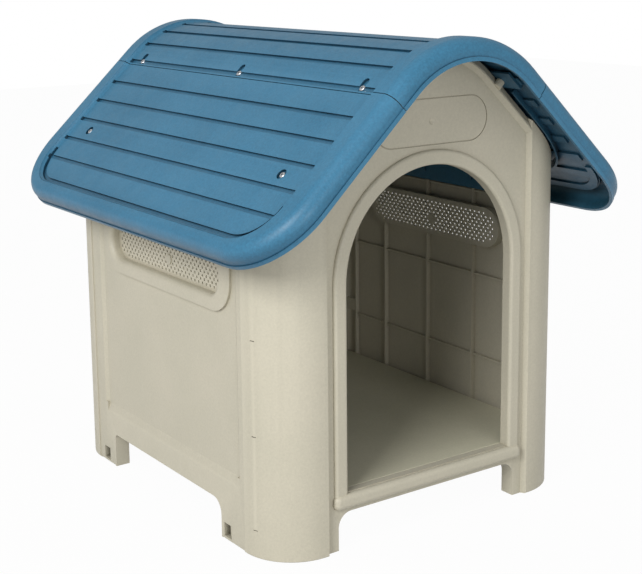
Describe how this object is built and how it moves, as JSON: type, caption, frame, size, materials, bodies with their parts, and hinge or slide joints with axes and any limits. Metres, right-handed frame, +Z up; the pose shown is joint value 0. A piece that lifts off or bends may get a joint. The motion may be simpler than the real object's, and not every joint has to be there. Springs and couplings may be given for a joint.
{
  "type": "dog house",
  "caption": "Raised dog house of moulded plastic with an arched doorway, perforated side vents and a screwed-on pitched roof of planked panels.",
  "frame": {"origin": "on the ground at the middle of the body", "axes": "+Z up; -Y out of the doorway; +X to the right of someone who looks along +Y into the doorway"},
  "size_m": [0.6274, 0.728, 0.662],
  "materials": {
    "roof_plastic": "fine grained",
    "wall_plastic": "fine grained",
    "floor_plastic": "smooth",
    "screw_steel": "zinc plated"
  },
  "bodies": {
    "root": {"front_wall": "wall_plastic", "back_wall": "wall_plastic", "left_wall": "wall_plastic", "right_wall": "wall_plastic", "floor_panel": "floor_plastic", "roof_cap": "roof_plastic", "roof_panel_left": "roof_plastic", "roof_panel_right": "roof_plastic", "cap_screw_left_front": "screw_steel", "cap_screw_left_middle": "screw_steel", "cap_screw_left_rear": "screw_steel", "cap_screw_right_front": "screw_steel", "cap_screw_right_middle": "screw_steel", "cap_screw_right_rear": "screw_steel", "panel_screw_left_front": "screw_steel", "panel_screw_left_rear": "screw_steel", "panel_screw_right_front": "screw_steel", "panel_screw_right_rear": "screw_steel"}
  },
  "joints": []
}
